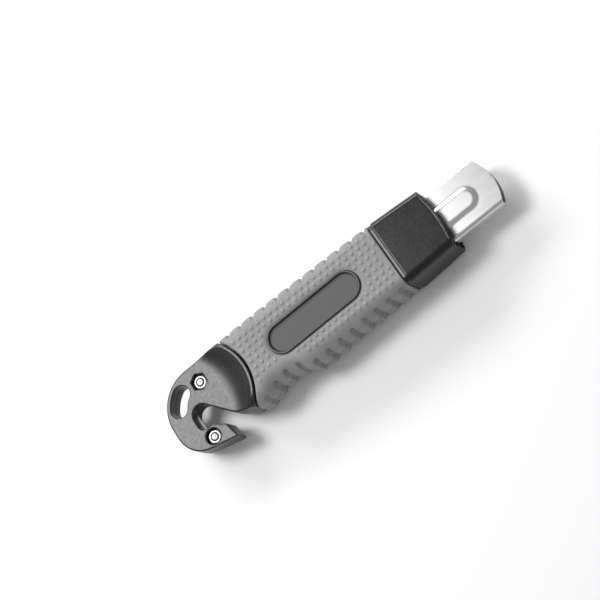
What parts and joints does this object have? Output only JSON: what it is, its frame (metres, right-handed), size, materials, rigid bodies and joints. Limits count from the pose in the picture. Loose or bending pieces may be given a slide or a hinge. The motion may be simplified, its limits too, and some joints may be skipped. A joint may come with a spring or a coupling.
{
  "type": "utility knife",
  "caption": "Box-cutting knife with a folded steel sheath over a spring-return blade, a ribbed soft grip, oval plates, a nose collar and a strap-cutting hook with a lanyard slot.",
  "frame": {"origin": "centre of the footprint, on the plane the knife lies on", "axes": "+X from the hook along the knife to the sheath's nose, +Y from the finger side to the spine, +Z out of the front face with the recessed oval plate; the knife lies on its back"},
  "size_m": [0.17, 0.0372, 0.0216],
  "materials": {
    "black_plastic": "fine moulded texture, soft sheen",
    "grey_rubber": "matt soft-touch with raised dots",
    "plate_plastic": "smooth, satin field",
    "sheath_steel": "satin bright steel",
    "zinc": "bright zinc plate",
    "blade_steel": "ground steel",
    "spring_steel": "plain drawn steel",
    "slider_plastic": "matt"
  },
  "bodies": {
    "handle": {"front_shell": "black_plastic", "rear_shell": "black_plastic", "front_grip": "grey_rubber", "rear_grip": "grey_rubber", "front_plate": "plate_plastic", "rear_plate": "plate_plastic", "collar": "black_plastic", "guard": "sheath_steel", "strap_blade": "blade_steel", "upper_bolt": "zinc", "upper_nut": "zinc", "lower_bolt": "zinc", "lower_nut": "zinc", "rear_screw": "zinc", "front_screw": "zinc", "spring_pin": "spring_steel", "return_spring": "spring_steel"},
    "carriage": {"blade": "blade_steel", "blade_carrier": "slider_plastic", "blade_clip": "spring_steel", "clip_screw": "zinc", "thumb_slider": "slider_plastic"}
  },
  "joints": [
    {"name": "blade_slide", "type": "slide", "parent": "handle", "child": "carriage", "axis": [1, 0, 0], "range_m": [0, 0.012], "stiffness_N_per_m": 150, "springref_m": -0.01, "deforming": ["return_spring"]}
  ]
}
